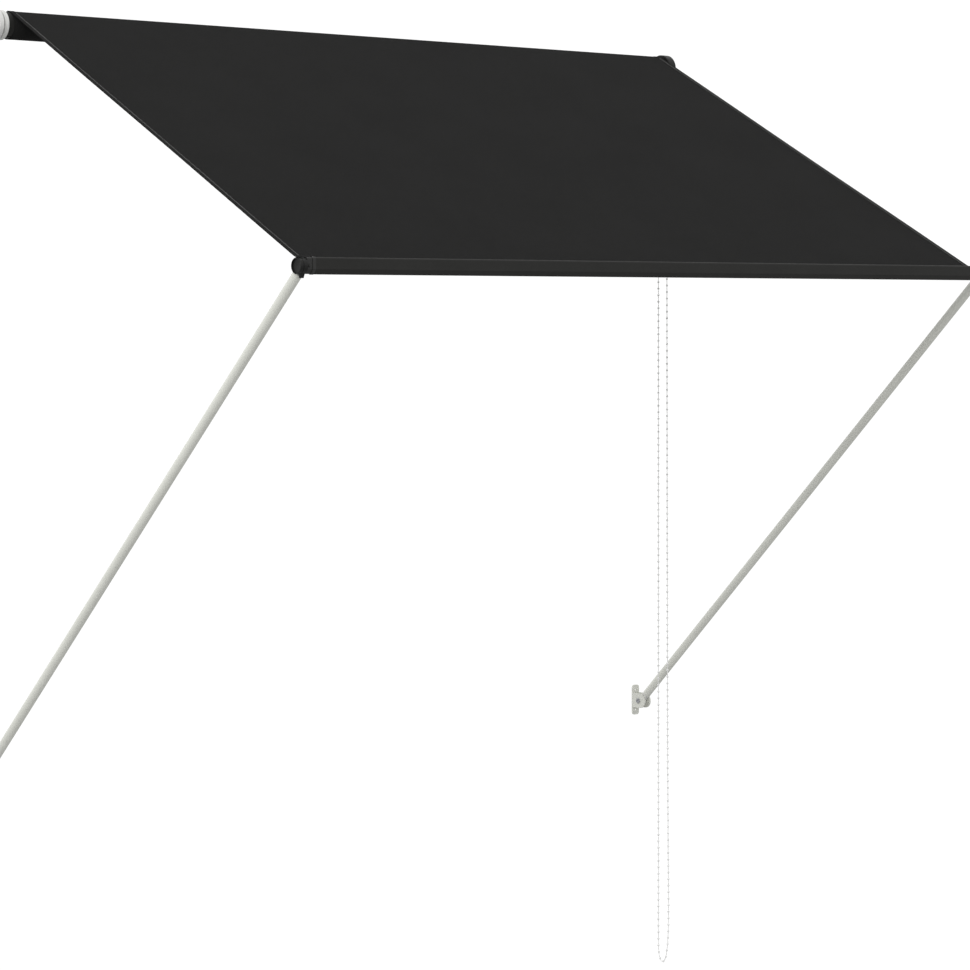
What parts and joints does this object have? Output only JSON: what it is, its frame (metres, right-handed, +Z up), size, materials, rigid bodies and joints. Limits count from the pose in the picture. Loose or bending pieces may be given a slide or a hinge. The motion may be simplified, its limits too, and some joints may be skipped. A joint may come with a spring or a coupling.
{
  "type": "awning",
  "caption": "Drop-arm awning: cloth on a wall roller worked by a bead chain, with a front bar carried on swinging arms.",
  "frame": {"origin": "middle of the left roller bracket's wall face, at the height of the roller's axis", "axes": "+Z up, +X along the wall towards the chain side, +Y into the wall; the awning stands out along -Y"},
  "size_m": [1.568, 0.8996, 1.7444],
  "materials": {
    "white_paint": "white powder coat",
    "white_plastic": "moulded white plastic",
    "dark_paint": "dark grey powder coat",
    "dark_plastic": "moulded black plastic",
    "steel": "zinc-plated steel",
    "canvas": "woven canvas, dark grey",
    "chain_plastic": "clear to white plastic beads on a cord"
  },
  "bodies": {
    "wall_frame": {"left_roller_bracket": "white_paint", "right_roller_bracket": "white_paint", "left_bearing_cup": "white_plastic", "left_axle_pin": "steel", "right_axle_pin": "steel", "chain_housing": "dark_plastic", "chain_cover": "dark_plastic", "bead_chain": "chain_plastic", "left_arm_bracket": "white_paint", "right_arm_bracket": "white_paint", "left_pivot_rivet": "steel", "right_pivot_rivet": "steel", "canopy": "canvas"},
    "roller": {"roller_tube": "dark_paint", "roller_welt": "dark_plastic", "fabric_roll": "canvas", "left_end_plug": "white_plastic", "right_end_plug": "dark_plastic", "chain_wheel": "dark_plastic"},
    "left_arm": {"left_arm_tube": "white_paint", "left_arm_eye": "dark_plastic", "left_arm_knuckle": "white_plastic"},
    "right_arm": {"right_arm_tube": "white_paint", "right_arm_eye": "dark_plastic", "right_arm_knuckle": "white_plastic"},
    "front_bar": {"front_bar": "dark_paint", "front_welt": "dark_plastic", "left_bar_plug": "dark_plastic", "right_bar_plug": "dark_plastic", "left_plug_screw": "dark_plastic", "right_plug_screw": "dark_plastic", "left_hub_bolt": "steel", "right_hub_bolt": "steel", "left_hub_cap": "dark_plastic", "right_hub_cap": "dark_plastic"}
  },
  "joints": [
    {"name": "left_arm_swing", "type": "hinge", "parent": "wall_frame", "child": "left_arm", "pos_m": [0.0618, -0.0191, -1.2222], "axis": [-1, 0, 0], "range_deg": [0, 39.5], "deforming": ["canopy"]},
    {"name": "right_arm_swing", "type": "hinge", "parent": "wall_frame", "child": "right_arm", "pos_m": [1.5334, -0.0191, -1.2222], "axis": [-1, 0, 0], "range_deg": [0, 39.5]},
    {"name": "bar_turn", "type": "hinge", "parent": "left_arm", "child": "front_bar", "pos_m": [0.0618, -0.88737, -0.39824], "axis": [1, 0, 0], "range_deg": [0, 39.5]},
    {"name": "roller_turn", "type": "hinge", "parent": "wall_frame", "child": "roller", "pos_m": [0.765, -0.1075, 0], "axis": [-1, 0, 0], "range_deg": [0, 1840]}
  ],
  "couplings": [
    {"joint": "right_arm_swing", "follows": "left_arm_swing", "ratio": 1},
    {"joint": "bar_turn", "follows": "left_arm_swing", "ratio": 1},
    {"joint": "roller_turn", "follows": "left_arm_swing", "ratio": 46.5}
  ]
}
